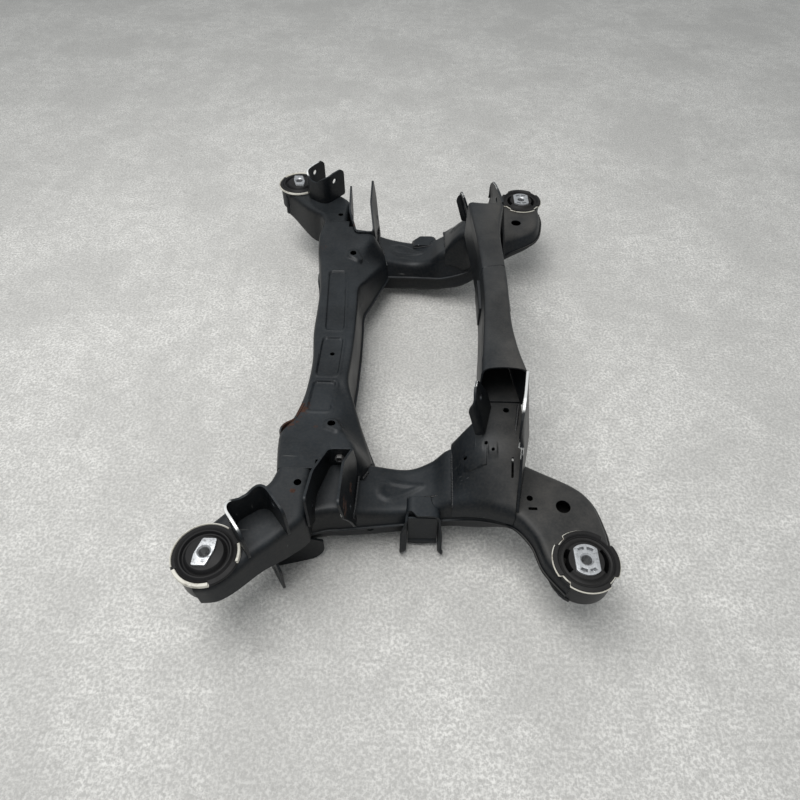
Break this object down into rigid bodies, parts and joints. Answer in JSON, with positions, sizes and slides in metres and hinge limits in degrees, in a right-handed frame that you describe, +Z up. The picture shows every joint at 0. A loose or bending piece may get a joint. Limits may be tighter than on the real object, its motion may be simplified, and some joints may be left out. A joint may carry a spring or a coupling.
{
  "type": "rear axle subframe",
  "caption": "Welded pressed-steel rear axle subframe with front and rear cross members, side rails, link brackets and rubber body bushes.",
  "frame": {"origin": "on the ground below the middle of the bounding box", "axes": "+X to the vehicle's rear, +Y to its right-hand cross-car side, +Z up; the part lies as it does in the picture"},
  "size_m": [0.654, 1.112, 0.304],
  "materials": {
    "paint": "satin black dip paint with dust and worn edges",
    "bush_rubber": "matte",
    "bush_ring": "moulded, cream",
    "bush_core": "cast and speckled",
    "nut": "plain"
  },
  "bodies": {
    "root": {"front_beam_upper": "paint", "front_beam_lower": "paint", "rear_beam_upper": "paint", "rear_beam_lower": "paint", "rail_upper_left": "paint", "rail_upper_right": "paint", "rail_lower_left": "paint", "rail_lower_right": "paint", "front_arm_upper_left": "paint", "front_arm_upper_right": "paint", "front_arm_lower_left": "paint", "front_arm_lower_right": "paint", "rear_tower_left": "paint", "rear_tower_right": "paint", "front_sleeve_left": "paint", "front_sleeve_right": "paint", "rear_sleeve_left": "paint", "rear_sleeve_right": "paint", "front_bush_can_left": "bush_ring", "front_bush_can_right": "bush_ring", "rear_bush_can_left": "bush_ring", "rear_bush_can_right": "bush_ring", "front_bush_rubber_left": "bush_rubber", "front_bush_rubber_right": "bush_rubber", "rear_bush_rubber_left": "bush_rubber", "rear_bush_rubber_right": "bush_rubber", "front_bush_core_left": "bush_core", "front_bush_core_right": "bush_core", "rear_bush_core_left": "bush_core", "rear_bush_core_right": "bush_core", "guide_link_bracket_left": "paint", "guide_link_bracket_right": "paint", "camber_link_bracket_left": "paint", "camber_link_bracket_right": "paint", "lower_link_bracket_left": "paint", "lower_link_bracket_right": "paint", "front_lower_bracket_left": "paint", "front_lower_bracket_right": "paint", "rear_ear_inner_left": "paint", "rear_ear_inner_right": "paint", "rear_ear_outer_left": "paint", "rear_ear_outer_right": "paint", "weld_nuts": "nut"}
  },
  "joints": []
}
